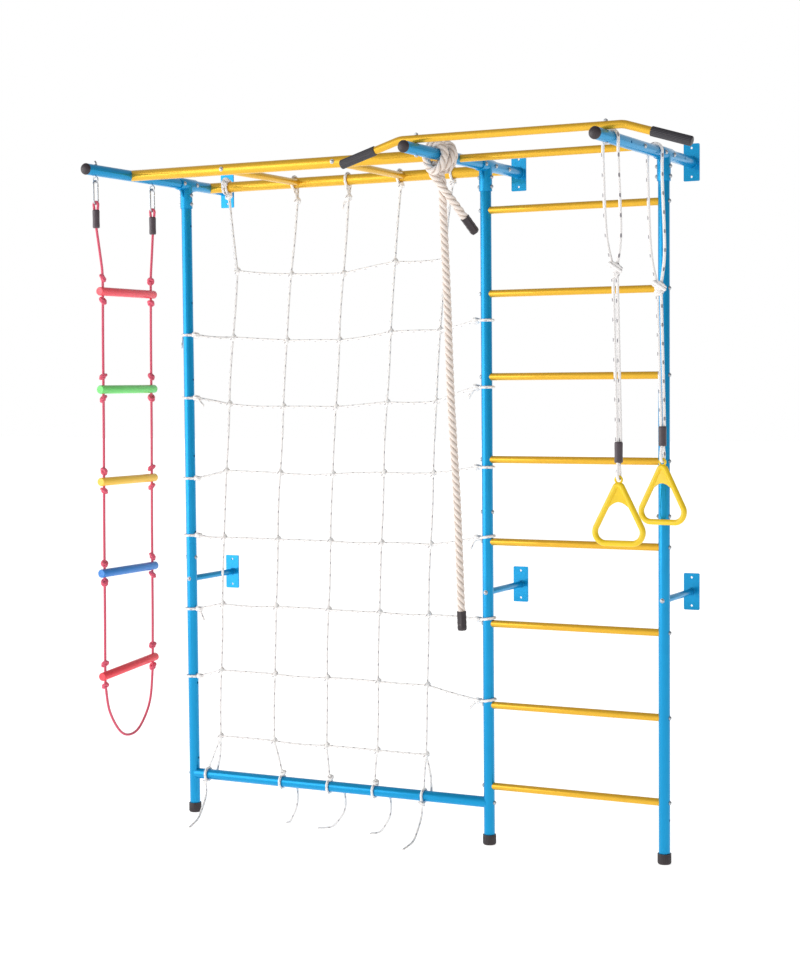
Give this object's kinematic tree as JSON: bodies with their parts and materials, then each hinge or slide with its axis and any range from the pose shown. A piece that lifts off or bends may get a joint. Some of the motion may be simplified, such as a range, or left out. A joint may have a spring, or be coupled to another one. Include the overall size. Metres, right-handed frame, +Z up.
{
  "type": "wall-mounted jungle gym",
  "caption": "Wall-mounted indoor climbing frame of round tube: rung ladder, rope net, overhead bars, pull-up bar, rope ladder, climbing rope and gym rings.",
  "frame": {"origin": "centre of the back face of the middle roof arm's wall plate, where it meets the wall", "axes": "+X along the wall towards the right post, +Y into the wall, +Z up; the floor is at z = -2.314 m and the whole object is on the -Y side of the wall"},
  "size_m": [2.1327, 0.9073, 2.3765],
  "materials": {
    "powder_blue": "cyan-blue gloss powder coat",
    "powder_yellow": "warm yellow gloss powder coat",
    "zinc_steel": "bright zinc plating",
    "black_rubber": "black, satin",
    "grip_foam": "black ribbed grip, matt",
    "net_rope": "white braided rope with dark flecks",
    "red_rope": "crimson braided rope",
    "cream_rope": "cream three-strand twisted rope",
    "ring_plastic": "lemon yellow moulded plastic",
    "rung_red": "red moulded plastic",
    "rung_green": "green moulded plastic",
    "rung_yellow": "yellow moulded plastic",
    "rung_blue": "blue moulded plastic"
  },
  "bodies": {
    "frame": {"arm_cap_left": "black_rubber", "arm_cap_middle": "black_rubber", "arm_cap_right": "black_rubber", "arm_left": "powder_blue", "arm_middle": "powder_blue", "arm_right": "powder_blue", "clamp_left_left": "powder_blue", "clamp_left_right": "powder_blue", "clamp_middle_left": "powder_blue", "clamp_middle_right": "powder_blue", "clamp_right_left": "powder_blue", "clamp_right_right": "powder_blue", "climbing_net": "net_rope", "cross_bar": "powder_blue", "eye_bolt_front": "zinc_steel", "eye_bolt_rear": "zinc_steel", "foot_left": "black_rubber", "foot_middle": "black_rubber", "foot_right": "black_rubber", "grip_left": "grip_foam", "grip_right": "grip_foam", "ladder_rung_1": "powder_yellow", "ladder_rung_2": "powder_yellow", "ladder_rung_3": "powder_yellow", "ladder_rung_4": "powder_yellow", "ladder_rung_5": "powder_yellow", "ladder_rung_6": "powder_yellow", "ladder_rung_7": "powder_yellow", "ladder_rung_8": "powder_yellow", "overhead_rung_1": "powder_yellow", "overhead_rung_2": "powder_yellow", "post_left": "powder_blue", "post_middle": "powder_blue", "post_right": "powder_blue", "pull_up_bar": "powder_yellow", "rail_front": "powder_yellow", "rail_rear": "powder_yellow", "straight_bar": "powder_yellow", "wall_bracket_left": "powder_blue", "wall_bracket_middle": "powder_blue", "wall_bracket_right": "powder_blue"},
    "rope_ladder": {"spring_hook_front": "zinc_steel", "spring_hook_rear": "zinc_steel", "ladder_rope": "red_rope", "rope_rung_1": "rung_red", "rope_rung_2": "rung_green", "rope_rung_3": "rung_yellow", "rope_rung_4": "rung_blue", "rope_rung_5": "rung_red"},
    "gate_front": {"hook_gate_front": "zinc_steel"},
    "gate_rear": {"hook_gate_rear": "zinc_steel"},
    "climbing_knot": {"climbing_knot": "cream_rope", "tail_cap": "black_rubber"},
    "climbing_rope": {"climbing_rope": "cream_rope", "rope_cap": "black_rubber"},
    "ring_rope_front": {"ring_rope_front": "net_rope"},
    "ring_front": {"ring_front": "ring_plastic"},
    "ring_rope_rear": {"ring_rope_rear": "net_rope"},
    "ring_rear": {"ring_rear": "ring_plastic"}
  },
  "joints": [
    {"name": "rope_ladder_swing", "type": "hinge", "parent": "frame", "child": "rope_ladder", "pos_m": [-1.2, -0.505, -0.035], "axis": [0, 1, 0], "range_deg": [-25, 30]},
    {"name": "gate_front_press", "type": "hinge", "parent": "rope_ladder", "child": "gate_front", "pos_m": [-1.2, -0.83, -0.0906], "axis": [1, 0, 0], "range_deg": [0, 25], "stiffness_Nm_per_rad": 0.05, "springref_deg": -20.05},
    {"name": "gate_rear_press", "type": "hinge", "parent": "rope_ladder", "child": "gate_rear", "pos_m": [-1.2, -0.493, -0.0906], "axis": [1, 0, 0], "range_deg": [0, 25], "stiffness_Nm_per_rad": 0.05, "springref_deg": -20.05},
    {"name": "climbing_knot_turn", "type": "hinge", "parent": "frame", "child": "climbing_knot", "pos_m": [0, -0.635, 0], "axis": [0, 1, 0], "range_deg": [-8, 8]},
    {"name": "climbing_rope_swing", "type": "hinge", "parent": "climbing_knot", "child": "climbing_rope", "pos_m": [0.00239, -0.62471, -0.12449], "axis": [1, 0, 0], "range_deg": [-25, 8]},
    {"name": "ring_rope_front_swing", "type": "hinge", "parent": "frame", "child": "ring_rope_front", "pos_m": [0.63, -0.766, 0], "axis": [0, 1, 0], "range_deg": [-30, 12]},
    {"name": "ring_front_swing", "type": "hinge", "parent": "ring_rope_front", "child": "ring_front", "pos_m": [0.648, -0.752, -1.02564], "axis": [0, 1, 0], "range_deg": [-40, 40]},
    {"name": "ring_rope_rear_swing", "type": "hinge", "parent": "frame", "child": "ring_rope_rear", "pos_m": [0.63, -0.37, 0], "axis": [0, 1, 0], "range_deg": [-30, 12]},
    {"name": "ring_rear_swing", "type": "hinge", "parent": "ring_rope_rear", "child": "ring_rear", "pos_m": [0.648, -0.352, -0.98864], "axis": [0, 1, 0], "range_deg": [-40, 40]}
  ]
}
